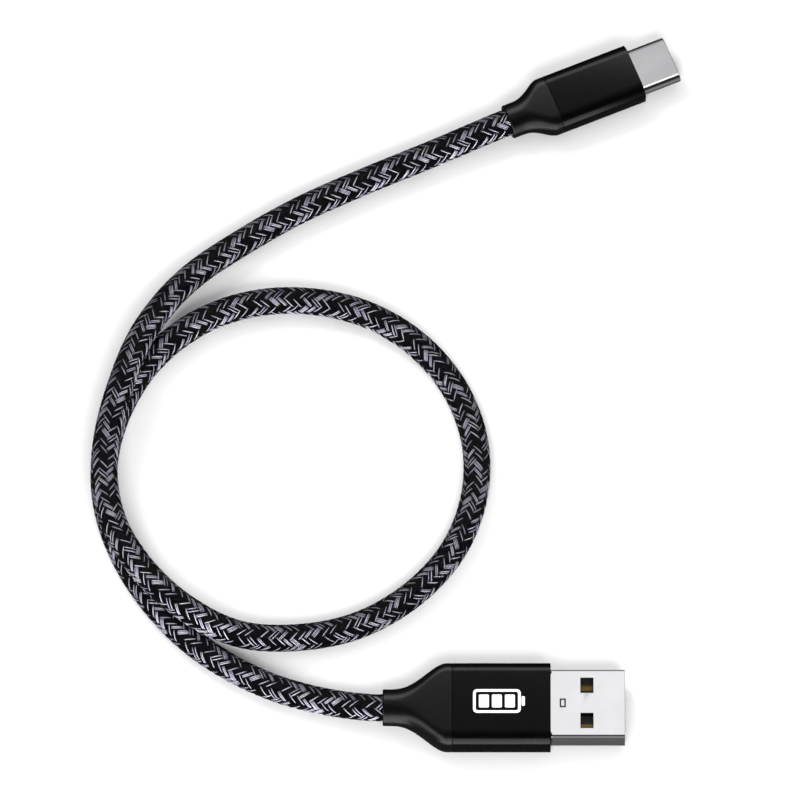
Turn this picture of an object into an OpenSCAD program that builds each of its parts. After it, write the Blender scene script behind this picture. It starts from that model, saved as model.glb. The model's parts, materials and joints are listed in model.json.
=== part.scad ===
// Braided charging cable. One end carries a wide rectangular plug for a charger or a computer, the
// other a small oval plug that goes into a phone or a tablet either way up. Millimetres. The origin
// lies on the table, under the centre of the wide plug's metal sleeve. +X is the way the wide plug
// goes into its socket, and +Z is up. Each plug is drawn about its own axis, with x = 0 at the middle
// of its sleeve and +X towards its mouth.

/* [Cable] */
// Outside diameter of the woven cover
cable_d = 4.5; // [3.6:0.1:4.7]
// Thickness of the woven cover
braid_wall = 0.3; // [0.2:0.05:0.4]
// Thickness of the round jacket under the woven cover
jacket_wall = 0.45; // [0.3:0.05:0.5]
// Thickness of the foil shield round the wires
foil_wall = 0.1; // [0.06:0.02:0.14]
// Gap between the layers of the cable
layer_gap = 0.05; // [0.02:0.01:0.08]
// Gap between neighbouring wires
wire_gap = 0.08; // [0.04:0.01:0.12]
// Gap between the four wires and the foil round them
bundle_gap = 0.035; // [0.02:0.005:0.08]
// Diameter of the bare copper in a wire
copper_d = 0.4; // [0.3:0.05:0.5]

/* [Host plug body] */
// Width of the metal sleeve
host_w = 14.5; // [14.2:0.1:18]
// Thickness of the metal sleeve
host_t = 7; // [6.6:0.1:9]
// Length of the metal sleeve
host_len = 16.3; // [15:0.1:22]
// Radius of the sleeve's four long edges
host_edge_r = 2.2; // [1:0.1:3]
// Wall of the metal sleeve
host_wall = 0.6; // [0.4:0.05:0.7]
// Length of the moulded boot behind the sleeve
host_boot_len = 11.5; // [9:0.5:16]
// Diameter of the boot's neck, where the cable comes out
host_neck_d = 6.1; // [5.6:0.1:6.6]

/* [Host plug mouth] */
// Width of the steel shell
host_shell_w = 12; // [11.8:0.05:12.2]
// Height of the steel shell
host_shell_t = 4.5; // [4.4:0.05:4.8]
// Thickness of the shell's sheet steel
host_sheet = 0.3; // [0.2:0.05:0.35]
// Length of shell that stands out of the sleeve
host_shell_out = 12.3; // [11:0.1:15]
// Length of the whole shell
host_shell_len = 18.75; // [18:0.25:22]
// Length of a window along the plug
window_len = 2.15; // [1.5:0.05:3]
// Width of a window across the plug
window_w = 2.7; // [2:0.1:3]
// Distance between the two windows' centres
window_pitch = 6.25; // [5.5:0.05:7]
// Distance from the mouth to the windows' centres
window_back = 6.3; // [5:0.1:8]
// Thickness of the tongue that holds the contacts
tongue_t = 1.9; // [1.6:0.05:2]
// Width of a contact
contact_w = 1; // [0.7:0.05:1.2]

/* [Device plug body] */
// Width of the metal sleeve
device_w = 9.9; // [9.8:0.1:12]
// Thickness of the metal sleeve
device_t = 5.8; // [5.6:0.1:7]
// Length of the metal sleeve
device_len = 14.8; // [13.5:0.1:20]
// Radius of the sleeve's four long edges
device_edge_r = 2.2; // [1.2:0.1:2.6]
// Wall of the metal sleeve
device_wall = 0.45; // [0.3:0.05:0.5]
// Length of the moulded boot behind the sleeve
device_boot_len = 8.2; // [7.5:0.5:14]
// Diameter of the boot's neck, where the cable comes out
device_neck_d = 5.8; // [5.4:0.1:5.8]
// Place on the table under the middle of the sleeve
device_at = [15.6, 110.9]; // [0:1:200]
// Turn of the plug on the table
device_turn = 22.5; // [20:0.5:25]

/* [Device plug mouth] */
// Width of the seamless oval shell
device_shell_w = 8.25; // [8.1:0.05:8.4]
// Height of the seamless oval shell
device_shell_t = 2.4; // [2.35:0.05:2.6]
// Wall of the oval shell
device_sheet = 0.25; // [0.2:0.05:0.3]
// Length of shell that stands out of the sleeve
device_shell_out = 6.65; // [6.2:0.05:8]
// Length of the whole shell
device_shell_len = 11; // [10.5:0.1:12.5]
// Height of the slot that takes the socket's tongue
slot_t = 0.8; // [0.7:0.05:0.9]
// Width of the slot that takes the socket's tongue
slot_w = 6.8; // [6.6:0.1:7]
// Depth of the slot
slot_depth = 6.2; // [5:0.1:6.5]
// Thickness of the circuit board
board_t = 0.8; // [0.6:0.1:0.8]

/* [Fits] */
// Gap round pieces that slide into one another
fit = 0.05; // [0.03:0.01:0.08]
// Sheet thickness of the rear shields
shield_sheet = 0.2; // [0.15:0.05:0.25]

/* [Hidden] */

// Roundness of true arcs, and how far a cut runs past a face
$fn = 48;
past = 1;

// Radii of the cable's layers, from the outside in
braid_r = cable_d / 2;
braid_bore_r = braid_r - braid_wall;
jacket_r = braid_bore_r - layer_gap;
jacket_bore_r = jacket_r - jacket_wall;
foil_r = jacket_bore_r - layer_gap;
foil_bore_r = foil_r - foil_wall;
cable_sides = 8;
wire_sides = 6;
// The four wires lie side by side in a square and fill the foil's bore: their radius, how far they
// are from the cable's axis, and at what angles
wire_r = (foil_bore_r * cos(180 / cable_sides) - bundle_gap - wire_gap) / (1 + sqrt(2));
bundle_r = wire_r * sqrt(2) + wire_gap;
wire_angle = [135, 225, 315, 45];
copper_r = copper_d / 2;
// Straight length of a wire before its solder joint
wire_lead = 0.8;
// Solder under a bare wire, and the bead over it
solder_film = 0.05;
bead_r = 0.5;
bead_setback = 0.1;

// Crimp collar of the rear shields, which holds the jacket where the cover is stripped back
collar_bore_r = jacket_r + fit;
collar_r = collar_bore_r + shield_sheet;
boot_bore_r = braid_r + fit;

// How far the boots' spigots reach into the sleeves, and a shield reaches over its shell
spigot_len = 1.7;
host_can_grip = 1.8;
device_can_grip = 1.5;
// How far behind the sleeves the woven cover stops, and how far past the shields' backs the jacket does
host_cover_short = 4;
device_cover_short = 2.8;
host_jacket_past = 0.6;
device_jacket_past = 0.5;
// Behind the host shell: the shelf under the contacts' tails, the bare copper and the insulation
host_shelf_len = 1.7;
host_copper_short = 0.4;
host_wire_short = 2.7;
// The device board stands clear of the shield's back, and the copper and the insulation of it
device_board_back = 4;
device_wire_short = 0.3;
device_copper_len = 1.4;

// Places along the host plug
host_front = host_len / 2;
host_back = -host_len / 2;
host_neck = host_back - host_boot_len;
host_mouth = host_front + host_shell_out;
host_shell_back = host_mouth - host_shell_len;
host_can_back = host_back + spigot_len;
host_can_front = host_shell_back + host_can_grip;
host_braid_end = host_back - host_cover_short;
host_jacket_end = host_can_back + host_jacket_past;
host_wire_end = host_shell_back - host_wire_short;
host_copper_end = host_shell_back - host_copper_short;
host_shelf_back = host_shell_back - host_shelf_len;

// Sections of the host plug
host_shell_r = 0.5;
host_hole_w = host_shell_w - 2 * host_sheet;
host_hole_t = host_shell_t - 2 * host_sheet;
host_can_w = host_shell_w + 2 * (shield_sheet + fit);
host_can_t = host_shell_t + 2 * (shield_sheet + fit);
host_can_r = host_shell_r + shield_sheet;
host_inner_w = host_w - 2 * host_wall;
host_inner_t = host_t - 2 * host_wall;
host_inner_r = host_edge_r - host_wall;
mouth_recess = 0.5;
mould_recess = 0.2;
tongue_front = host_mouth - mouth_recess;
tongue_len = 11.8;
block_setback = 1.2;
block_front = tongue_front - tongue_len;
block_back = host_shell_back + block_setback;
insulator_w = host_hole_w - 2 * fit;
tongue_low = -host_hole_t / 2 + fit;
tongue_top = tongue_low + tongue_t;
contact_t = 0.3;
contact_proud = 0.08;
contact_low = tongue_top + contact_proud - contact_t;
// Height of the bare copper's axis, just over the contacts
host_wire_z = tongue_top + contact_proud + solder_film + copper_r;
// Across the plug: power and ground outside, the two data contacts inside
contact_y = [-3.5, -1, 1, 3.5];
// How far each contact stops short of the tongue's front: the outer two reach further out
contact_setback = [1.2, 2.2, 2.2, 1.2];

// Places along the device plug
device_front = device_len / 2;
device_back = -device_len / 2;
device_neck = device_back - device_boot_len;
device_mouth = device_front + device_shell_out;
device_shell_back = device_mouth - device_shell_len;
device_can_back = device_back + spigot_len;
device_can_front = device_shell_back + device_can_grip;
device_braid_end = device_back - device_cover_short;
device_jacket_end = device_can_back + device_jacket_past;
nose_front = device_mouth - mouth_recess;
nose_len = 9;
nose_back = nose_front - nose_len;
carrier_len = 1.2;
carrier_back = nose_back - carrier_len;
board_front = carrier_back;
board_back = device_can_back + device_board_back;
device_wire_end = board_back - device_wire_short;
device_copper_end = device_wire_end + device_copper_len;

// Sections of the device plug
device_hole_w = device_shell_w - 2 * device_sheet;
device_hole_t = device_shell_t - 2 * device_sheet;
device_can_w = device_shell_w + 2 * (shield_sheet + fit);
device_can_t = 2 * (jacket_r + shield_sheet + 2 * fit);
device_inner_w = device_w - 2 * device_wall;
device_inner_t = device_t - 2 * device_wall;
device_inner_r = device_edge_r - device_wall;
device_can_r = device_inner_r;
nose_w = device_hole_w - 2 * fit;
nose_t = device_hole_t - 2 * fit;
board_w = 6.6;
pin_w = 0.25;
pin_t = 0.2;
pin_low = board_t / 2;
pin_pitch = 0.5;
// Places of the contacts in each row, counted in pitches from the middle
top_pins = [-5.5, -2.5, -1.5, -0.5, 0.5, 2.5, 5.5];
bottom_pins = [-5.5, -2.5, 2.5, 5.5];
pin_setback = 1;
pin_tail = 1.3;
pin_front = nose_front - pin_setback;
pin_back = board_front - pin_tail;
plate_t = 0.2;
// Left of the nose outside the latch arms, and between the slot's floor and the plate
nose_skin = 0.12;
slot_floor = 0.4;
hook_front = nose_front - 2.5;
hook_len = 0.6;
hook_reach = 0.3;
spring_t = 0.1;
spring_len = 2.2;
spring_w = 5.4;
spring_setback = 2.3;
pad_y = [-2.1, -0.7, 0.7, 2.1];
// Height of the bare copper's axis, just over the board
device_wire_z = board_t / 2 + solder_film + copper_r;

// Colours
steel = [0.82, 0.83, 0.85];
dull_steel = [0.62, 0.63, 0.65];
black_metal = [0.06, 0.06, 0.065];
black_rubber = [0.10, 0.10, 0.11];
black_plastic = [0.08, 0.08, 0.085];
gold = [0.83, 0.66, 0.27];
copper = [0.78, 0.45, 0.25];
solder_grey = [0.70, 0.71, 0.73];
mould_white = [0.86, 0.86, 0.83];
board_green = [0.08, 0.30, 0.18];
braid_grey = [0.30, 0.30, 0.35];
wire_red = [0.75, 0.10, 0.10];
wire_white = [0.90, 0.90, 0.88];
wire_green = [0.10, 0.50, 0.20];
wire_black = [0.05, 0.05, 0.05];

// The cable's route between its two necks: along the table, round one loop, and over itself
rest_z = braid_r;
neck_lead = 1.5;
LOOP = [
    [-28.5, 1.3, 2.6], [-37, 3.8, 2.25], [-45, 7.7, 2.25], [-52, 12.9, 2.25],
    [-57.8, 19.4, 2.25], [-62.3, 26.8, 2.25], [-65.2, 35, 2.25], [-65.9, 43.5, 2.25],
    [-63.7, 53, 2.25], [-58.4, 62.2, 2.25], [-50.5, 69, 2.25], [-41.5, 72.5, 2.25],
    [-32, 73, 2.25], [-22.5, 70.7, 2.25], [-14, 65.3, 2.25], [-7.6, 57.2, 2.25],
    [-4.3, 47.5, 2.25], [-4.5, 37.8, 2.25], [-8, 28.4, 2.25], [-14.6, 20.7, 2.25],
    [-23.5, 15.2, 2.25], [-33.5, 12.9, 2.4], [-43.5, 13, 3.8], [-52.3, 16.7, 6.1],
    [-59.4, 23.3, 6.9], [-64.1, 31.3, 6.9], [-65.8, 39.5, 6.9], [-65.3, 47.5, 6.9],
    [-62.9, 57, 6.8], [-59.8, 65.2, 5.9], [-55.3, 72.6, 4.2], [-50.4, 78.1, 2.8],
    [-43.6, 83.2, 2.25], [-33.8, 89.2, 2.25], [-23, 94.4, 2.25], [-11.5, 99.4, 2.4]
];

function unit(v) = v / norm(v);
function smooth(t) = t <= 0 ? 0 : t >= 1 ? 1 : t * t * (3 - 2 * t);

// A point of a plug, at x along its axis, y across it and z above it, in the cable's frame
function host_point(x, y = 0, z = 0) = [x, y, host_t / 2 + z];
function device_point(x, y = 0, z = 0) = [
    device_at[0] + x * cos(device_turn) - y * sin(device_turn),
    device_at[1] + x * sin(device_turn) + y * cos(device_turn),
    device_t / 2 + z
];

// The axis of a layer that ends at from, inside the host plug, and at to, inside the device plug.
// It leaves each neck straight, and never lies lower than the table lets it.
function layer_axis(from, to) = concat(
    [host_point(from), host_point(host_neck), host_point(host_neck - neck_lead)],
    [for (p = LOOP) [p[0], p[1], max(p[2], rest_z)]],
    [device_point(device_neck - neck_lead), device_point(device_neck), device_point(to)]
);

// Direction of a path at its point i, halfway between the stretches before and after it
function heading(path, i) =
    i == 0 ? unit(path[1] - path[0]) :
    i == len(path) - 1 ? unit(path[i] - path[i - 1]) :
    unit(unit(path[i + 1] - path[i]) + unit(path[i] - path[i - 1]));
function sideways(path, i) = unit(cross(heading(path, i), [0, 0, 1]));
function upward(path, i) = cross(sideways(path, i), heading(path, i));
function ring(path, i, r, sides) = [
    for (k = [0:sides - 1])
        path[i] + r * (cos(k * 360 / sides) * sideways(path, i) + sin(k * 360 / sides) * upward(path, i))
];

// One of the four wires: straight from its solder joint, fanned in to the bundle, along the cable
// at its own place in the bundle, and fanned out again to its pad on the board
function wire_path(number) =
    let (
        axis = layer_axis(host_jacket_end, device_jacket_end),
        angle = wire_angle[number],
        last = len(axis) - 1
    )
    concat(
        [host_point(host_wire_end, contact_y[number], host_wire_z),
         host_point(host_wire_end - wire_lead, contact_y[number], host_wire_z)],
        [for (i = [0:last])
            axis[i] + bundle_r * (cos(angle) * sideways(axis, i) + sin(angle) * upward(axis, i))],
        [device_point(device_wire_end - wire_lead, -pad_y[number], device_wire_z),
         device_point(device_wire_end, -pad_y[number], device_wire_z)]
    );

// Triangles between successive rings of an outline, facing outwards, or inwards when turned
function skin(rings, sides, first, turned) = [
    for (i = [0:rings - 2], k = [0:sides - 1])
        let (
            a = first + i * sides + k,
            b = first + i * sides + (k + 1) % sides,
            c = b + sides,
            d = a + sides
        )
        each turned ? [[a, c, b], [a, d, c]] : [[a, b, c], [a, c, d]]
];
// Triangles across a solid's end, or between its outer and its inner ring
function cap(first, sides, turned) = [
    for (k = [1:sides - 2]) turned ? [first, first + k + 1, first + k] : [first, first + k, first + k + 1]
];
function rim(outer, inner, sides, turned) = [
    for (k = [0:sides - 1])
        let (m = (k + 1) % sides)
        each turned ?
            [[outer + k, inner + m, outer + m], [outer + k, inner + k, inner + m]] :
            [[outer + k, outer + m, inner + m], [outer + k, inner + m, inner + k]]
];

module solid_tube(path, r, sides) {
    rings = len(path);
    points = [for (i = [0:rings - 1]) each ring(path, i, r, sides)];
    faces = concat(
        skin(rings, sides, 0, false),
        cap(0, sides, true),
        cap((rings - 1) * sides, sides, false)
    );
    polyhedron(points, faces);
}

module hollow_tube(path, r, bore_r, sides) {
    rings = len(path);
    inner = rings * sides;
    points = concat(
        [for (i = [0:rings - 1]) each ring(path, i, r, sides)],
        [for (i = [0:rings - 1]) each ring(path, i, bore_r, sides)]
    );
    faces = concat(
        skin(rings, sides, 0, false),
        skin(rings, sides, inner, true),
        rim(0, inner, sides, true),
        rim((rings - 1) * sides, inner + (rings - 1) * sides, sides, false)
    );
    polyhedron(points, faces);
}

module at_host() {
    translate([0, 0, host_t / 2]) children();
}

module at_device() {
    translate([device_at[0], device_at[1], device_t / 2]) rotate([0, 0, device_turn]) children();
}

module rounded(w, h, r) {
    square([w - 2 * r, h], center = true);
    square([w, h - 2 * r], center = true);
    for (y = [-1, 1])
        for (z = [-1, 1])
            translate([y * (w / 2 - r), z * (h / 2 - r)]) circle(r);
}

// A bar along X, from one x to another, w wide, h high, with rounded long edges
module bar(from, to, w, h, r) {
    translate([from, 0, 0]) rotate([90, 0, 90]) linear_extrude(to - from) rounded(w, h, r);
}

// A square-edged block from one corner to the other
module block(low, high) {
    translate(low) cube(high - low);
}

// A round bar along X
module rod(from, to, r, y = 0, z = 0) {
    translate([from, y, z]) rotate([0, 90, 0]) cylinder(h = to - from, r = r);
}

// Half-space cutters for the pieces that split at the plug's middle plane
module above(reach) {
    block([-reach, -reach, 0], [reach, reach, reach]);
}

module below(reach) {
    block([-reach, -reach, -reach], [reach, reach, 0]);
}

// One ring of a boot's skin, at x along it: a rounded rectangle w wide and h high
function boot_outline(x, w, h, r, steps) = [
    for (q = [0:3], k = [0:steps - 1])
        let (
            a = 90 * q + 90 * (k + 0.5) / steps,
            cy = (q == 0 || q == 3 ? 1 : -1) * (w / 2 - r),
            cz = (q < 2 ? 1 : -1) * (h / 2 - r)
        )
        [x, cy + r * cos(a), cz + r * sin(a)]
];

// The boot's skin: a straight round neck, then an S-curve out to the sleeve's own section
module boot_body(neck, back, neck_d, w, h, edge_r, straight, swell) {
    rings = 18;
    steps = 7;
    sides = 4 * steps;
    points = [
        for (i = [0:rings - 1])
            let (
                share = i / (rings - 1),
                t = smooth((share - straight) / swell)
            )
            each boot_outline(neck + (back - neck) * share, neck_d + (w - neck_d) * t,
                neck_d + (h - neck_d) * t, neck_d / 2 + (edge_r - neck_d / 2) * t, steps)
    ];
    faces = concat(
        skin(rings, sides, 0, true),
        cap(0, sides, false),
        cap((rings - 1) * sides, sides, true)
    );
    polyhedron(points, faces);
}

// ---- Host plug ----

module host_windows() {
    for (y = [-1, 1])
        translate([host_mouth - window_back, y * window_pitch / 2, 0])
            cube([window_len, window_w, host_shell_t + 2 * past], center = true);
}

// Folded from sheet steel: a seam under the middle, four windows and a small stamped mark on top
module host_shell() {
    seam = 0.06;
    stamp_x = host_mouth - 10.3;
    stamp = [0.9, 1.45];
    stamp_depth = 0.12;
    stamp_line = 0.14;
    color(steel) at_host() difference() {
        bar(host_shell_back, host_mouth, host_shell_w, host_shell_t, host_shell_r);
        bar(host_shell_back - past, host_mouth + past, host_hole_w, host_hole_t,
            host_shell_r - host_sheet / 2);
        host_windows();
        block([host_shell_back - past, -seam / 2, -host_shell_t],
              [host_mouth + past, seam / 2, 0]);
        translate([stamp_x, 0, host_shell_t / 2]) difference() {
            cube([stamp[0], stamp[1], 2 * stamp_depth], center = true);
            cube([stamp[0] - 2 * stamp_line, stamp[1] - 2 * stamp_line, 4 * stamp_depth],
                center = true);
        }
    }
}

module host_contact_room(number, gap) {
    y = contact_y[number];
    from = host_shelf_back - (gap > 0 ? past : 0);
    to = tongue_front - contact_setback[number] + gap;
    block([from, y - contact_w / 2 - gap, contact_low - gap],
          [to, y + contact_w / 2 + gap, contact_low + contact_t + gap]);
}

// The tongue along the lower half of the mouth, the block that closes the shell behind it, and a
// shelf under the contacts' solder tails
module host_insulator() {
    above_tongue = host_hole_t - tongue_t;
    color(black_plastic) at_host() difference() {
        bar(host_shelf_back, tongue_front, insulator_w, host_hole_t - 2 * fit,
            host_shell_r - host_sheet / 2);
        for (ends = [[host_shelf_back - past, block_back], [block_front, tongue_front + past]])
            block([ends[0], -host_w, tongue_top], [ends[1], host_w, tongue_top + above_tongue]);
        for (number = [0:3]) host_contact_room(number, fit / 2);
    }
}

module host_contact(number) {
    color(gold) at_host() host_contact_room(number, 0);
}

module host_contact_power() {
    host_contact(0);
}

module host_contact_data_minus() {
    host_contact(1);
}

module host_contact_data_plus() {
    host_contact(2);
}

module host_contact_ground() {
    host_contact(3);
}

// Bare end of each wire, lying on its contact's tail
module host_copper(number) {
    rod(host_wire_end, host_copper_end, copper_r, contact_y[number], host_wire_z);
}

module host_wire_ends() {
    color(copper) at_host() for (number = [0:3]) host_copper(number);
}

// One bead over each bare wire and its contact's tail
module host_solder() {
    contact_top = contact_low + contact_t;
    color(solder_grey) at_host() for (number = [0:3])
        difference() {
            rod(host_shelf_back + bead_setback, host_copper_end - bead_setback, bead_r,
                contact_y[number], contact_top);
            block([host_shelf_back - past, contact_y[number] - past, contact_top - past],
                  [host_copper_end + past, contact_y[number] + past, contact_top]);
            host_copper(number);
        }
}

// The pressed can behind the shell, with the collar that is crimped on the cable's jacket
module host_can() {
    difference() {
        union() {
            bar(host_can_back, host_can_front, host_can_w, host_can_t, host_can_r);
            rod(host_braid_end + fit, host_can_back + shield_sheet, collar_r);
        }
        bar(host_can_back + shield_sheet, host_can_front + past, host_shell_w + 2 * fit,
            host_shell_t + 2 * fit, host_shell_r);
        rod(host_braid_end - past, host_can_back + past, collar_bore_r);
    }
}

module host_shield_top() {
    color(dull_steel) at_host() intersection() {
        host_can();
        above(host_w + host_len);
    }
}

module host_shield_bottom() {
    color(dull_steel) at_host() intersection() {
        host_can();
        below(host_w + host_len);
    }
}

// Soft plastic moulded round the shield, which holds the sleeve on
module host_mould() {
    color(mould_white) at_host() difference() {
        bar(host_can_back, host_front - mould_recess, host_inner_w - 2 * fit,
            host_inner_t - 2 * fit, host_inner_r);
        bar(host_can_back - past, host_can_front, host_can_w, host_can_t, host_can_r);
        bar(host_can_front - fit, host_front + past, host_shell_w, host_shell_t, host_shell_r);
    }
}

module host_sleeve() {
    color(black_metal) at_host() difference() {
        bar(host_back, host_front, host_w, host_t, host_edge_r);
        bar(host_back - past, host_front + past, host_inner_w, host_inner_t, host_inner_r);
    }
}

module host_boot() {
    color(black_rubber) at_host() difference() {
        union() {
            boot_body(host_neck, host_back, host_neck_d, host_w, host_t, host_edge_r, 0.2, 0.75);
            bar(host_back, host_can_back - fit, host_inner_w - 2 * fit, host_inner_t - 2 * fit,
                host_inner_r);
        }
        rod(host_neck - past, host_braid_end + fit, boot_bore_r);
        rod(host_braid_end, host_can_back + past, collar_r + fit);
    }
}

// ---- Cable ----

module cable_braid() {
    color(braid_grey)
        hollow_tube(layer_axis(host_braid_end, device_braid_end), braid_r, braid_bore_r, cable_sides);
}

module cable_jacket() {
    color(black_rubber)
        hollow_tube(layer_axis(host_jacket_end, device_jacket_end), jacket_r, jacket_bore_r,
            cable_sides);
}

module cable_foil() {
    setback = 0.3;
    color(dull_steel)
        hollow_tube(layer_axis(host_jacket_end - setback, device_jacket_end - setback), foil_r,
            foil_bore_r, cable_sides);
}

module wire(number) {
    solid_tube(wire_path(number), wire_r, wire_sides);
}

module wire_power() {
    color(wire_red) wire(0);
}

module wire_data_minus() {
    color(wire_white) wire(1);
}

module wire_data_plus() {
    color(wire_green) wire(2);
}

module wire_ground() {
    color(wire_black) wire(3);
}

// ---- Device plug ----

module stadium(from, to, w, h) {
    flat_side = 0.002;
    bar(from, to, w, h, (h - flat_side) / 2);
}

module device_shell() {
    color(steel) at_device() difference() {
        stadium(device_shell_back, device_mouth, device_shell_w, device_shell_t);
        stadium(device_shell_back - past, device_mouth + past, device_hole_w, device_hole_t);
    }
}

module device_pins(list, side, gap) {
    for (place = list)
        translate([0, place * pin_pitch, 0]) mirror([0, 0, side < 0 ? 1 : 0])
            block([pin_back - gap, -pin_w / 2 - gap, pin_low - gap],
                  [pin_front + gap, pin_w / 2 + gap, pin_low + pin_t + gap]);
}

// Middle plate: a body between the two carriers, and an arm with a hook along each side of the slot
module device_plate(gap) {
    arm_in = slot_w / 2;
    arm_out = nose_w / 2 - nose_skin;
    body_front = nose_front - slot_depth - slot_floor;
    half = plate_t / 2 + gap;
    block([carrier_back, -arm_out - gap, -half], [body_front, arm_out + gap, half]);
    for (y = [-1, 1])
        mirror([0, y < 0 ? 1 : 0, 0])
            block([carrier_back, arm_in - gap, -half], [hook_front + gap, arm_out + gap, half]);
}

module device_latch_plate() {
    color(steel) at_device() {
        device_plate(0);
        for (y = [-1, 1])
            mirror([0, y < 0 ? 1 : 0, 0])
                block([hook_front - hook_len, slot_w / 2 - hook_reach, -plate_t / 2],
                      [hook_front, slot_w / 2, plate_t / 2]);
    }
}

module device_spring(side, gap) {
    front = nose_front - spring_setback;
    mirror([0, 0, side < 0 ? 1 : 0])
        block([front - spring_len - gap, -spring_w / 2 - gap, nose_t / 2 - spring_t - gap],
              [front + gap, spring_w / 2 + gap, nose_t / 2 + (gap > 0 ? past : 0)]);
}

module device_insulator() {
    color(black_plastic) at_device() difference() {
        stadium(nose_back, nose_front, nose_w, nose_t);
        block([nose_front - slot_depth, -slot_w / 2, -slot_t / 2],
              [nose_front + past, slot_w / 2, slot_t / 2]);
        device_pins(top_pins, 1, fit / 2);
        device_pins(bottom_pins, -1, fit / 2);
        device_plate(fit / 2);
        device_spring(1, fit / 2);
        device_spring(-1, fit / 2);
    }
}

module device_contacts_top() {
    color(gold) at_device() device_pins(top_pins, 1, 0);
}

module device_contacts_bottom() {
    color(gold) at_device() device_pins(bottom_pins, -1, 0);
}

// The block that a row of contacts is moulded into, behind the nose
module device_carrier(list, side) {
    color(black_plastic) at_device() difference() {
        stadium(carrier_back, nose_back, nose_w, nose_t);
        mirror([0, 0, side < 0 ? 0 : 1]) above(device_w + device_len);
        device_pins(list, side, fit / 2);
        device_plate(fit / 2);
    }
}

module device_carrier_top() {
    device_carrier(top_pins, 1);
}

module device_carrier_bottom() {
    device_carrier(bottom_pins, -1);
}

module device_spring_top() {
    color(steel) at_device() device_spring(1, 0);
}

module device_spring_bottom() {
    color(steel) at_device() device_spring(-1, 0);
}

module device_board() {
    color(board_green) at_device()
        block([board_back, -board_w / 2, -board_t / 2], [board_front, board_w / 2, board_t / 2]);
}

// The pull-up that tells the device how much current it may draw
module device_resistor() {
    size = [0.5, 1, 0.35];
    middle = (device_copper_end + pin_back) / 2;
    color(wire_black) at_device()
        block([middle - size[0] / 2, -size[1] / 2, board_t / 2],
              [middle + size[0] / 2, size[1] / 2, board_t / 2 + size[2]]);
}

module device_copper(number) {
    rod(device_wire_end, device_copper_end, copper_r, -pad_y[number], device_wire_z);
}

module device_wire_ends() {
    color(copper) at_device() for (number = [0:3]) device_copper(number);
}

module device_solder() {
    color(solder_grey) at_device() for (number = [0:3])
        difference() {
            rod(board_back + bead_setback, device_copper_end - bead_setback, bead_r,
                -pad_y[number], board_t / 2);
            block([board_back, -board_w, -board_t], [board_front, board_w, board_t / 2]);
            device_copper(number);
        }
}

module device_can() {
    difference() {
        union() {
            bar(device_can_back, device_can_front, device_can_w, device_can_t, device_can_r);
            rod(device_braid_end + fit, device_can_back + shield_sheet, collar_r);
        }
        bar(device_can_back + shield_sheet, device_can_front - shield_sheet,
            device_can_w - 2 * shield_sheet, device_can_t - 2 * shield_sheet,
            device_can_r - shield_sheet);
        stadium(device_can_front - past, device_can_front + past, device_shell_w + 2 * fit,
            device_shell_t + 2 * fit);
        rod(device_braid_end - past, device_can_back + past, collar_bore_r);
    }
}

module device_shield_top() {
    color(dull_steel) at_device() intersection() {
        device_can();
        above(device_w + device_len);
    }
}

module device_shield_bottom() {
    color(dull_steel) at_device() intersection() {
        device_can();
        below(device_w + device_len);
    }
}

module device_mould() {
    color(mould_white) at_device() difference() {
        bar(device_can_back, device_front - mould_recess, device_inner_w - 2 * fit,
            device_inner_t - 2 * fit, device_inner_r);
        bar(device_can_back - past, device_can_front, device_can_w, device_can_t, device_can_r);
        stadium(device_can_front - fit, device_front + past, device_shell_w, device_shell_t);
    }
}

module device_sleeve() {
    color(black_metal) at_device() difference() {
        bar(device_back, device_front, device_w, device_t, device_edge_r);
        bar(device_back - past, device_front + past, device_inner_w, device_inner_t, device_inner_r);
    }
}

module device_boot() {
    color(black_rubber) at_device() difference() {
        union() {
            boot_body(device_neck, device_back, device_neck_d, device_w, device_t, device_edge_r,
                0.25, 0.6);
            bar(device_back, device_can_back - fit, device_inner_w - 2 * fit,
                device_inner_t - 2 * fit, device_inner_r);
        }
        rod(device_neck - past, device_braid_end + fit, boot_bore_r);
        rod(device_braid_end, device_can_back + past, collar_r + fit);
    }
}

host_shell();
host_insulator();
host_contact_power();
host_contact_data_minus();
host_contact_data_plus();
host_contact_ground();
host_solder();
host_shield_top();
host_shield_bottom();
host_mould();
host_sleeve();
host_boot();
host_wire_ends();
cable_braid();
cable_jacket();
cable_foil();
wire_power();
wire_data_minus();
wire_data_plus();
wire_ground();
device_shell();
device_insulator();
device_contacts_top();
device_contacts_bottom();
device_carrier_top();
device_carrier_bottom();
device_latch_plate();
device_spring_top();
device_spring_bottom();
device_board();
device_resistor();
device_solder();
device_shield_top();
device_shield_bottom();
device_mould();
device_sleeve();
device_boot();
device_wire_ends();
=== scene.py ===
# A braided charging cable. The wide plug goes into a charger (the host), the small oval one into a
# phone or a tablet (the device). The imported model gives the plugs' places.
import json
import math
import bmesh
import bpy
import numpy as np
from mathutils import Matrix, Vector


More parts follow.
